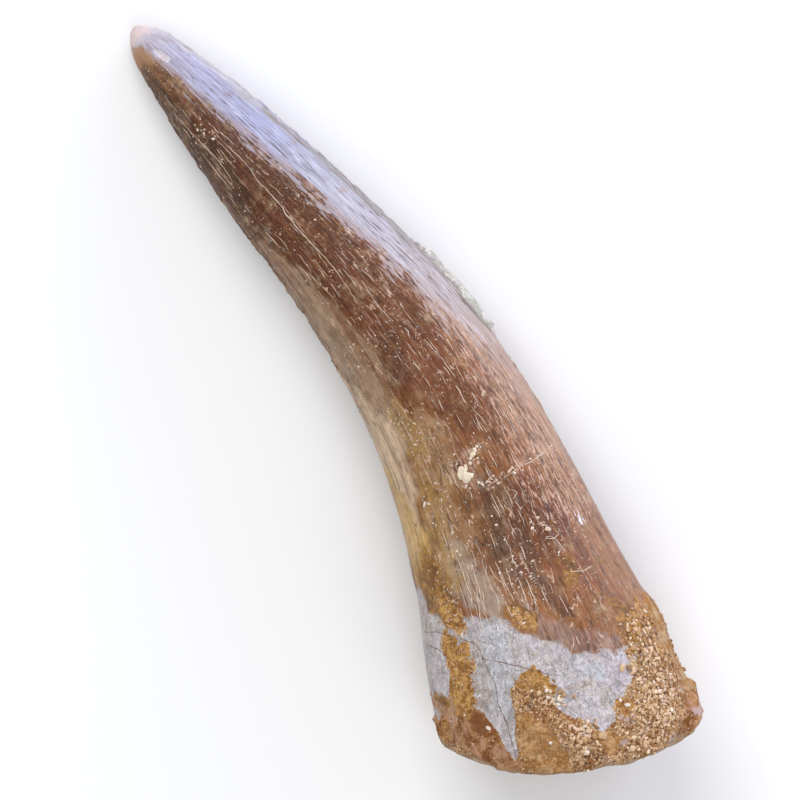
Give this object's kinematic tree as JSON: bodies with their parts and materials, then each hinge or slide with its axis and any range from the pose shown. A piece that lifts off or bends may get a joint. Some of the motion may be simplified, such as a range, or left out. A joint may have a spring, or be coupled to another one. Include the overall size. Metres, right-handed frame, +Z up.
{
  "type": "fossil plesiosaur tooth",
  "caption": "Long curved conical fossil reptile tooth with fine lengthwise ridges, a blunt worn tip and a sandy crust on its broken root end.",
  "frame": {"origin": "centre of the footprint, on the surface that the tooth lies on", "axes": "+Z up; +Y along the tooth, towards its tip; -X is the hollow side of its curve and +X the outer side"},
  "size_m": [0.0157, 0.0558, 0.0133],
  "materials": {
    "tooth": "satin reddish-brown fossil enamel with fine lengthwise ridges, grey dentine near the root and ochre sandy crust at the broken end"
  },
  "bodies": {
    "root": {"tooth": "tooth"}
  },
  "joints": []
}
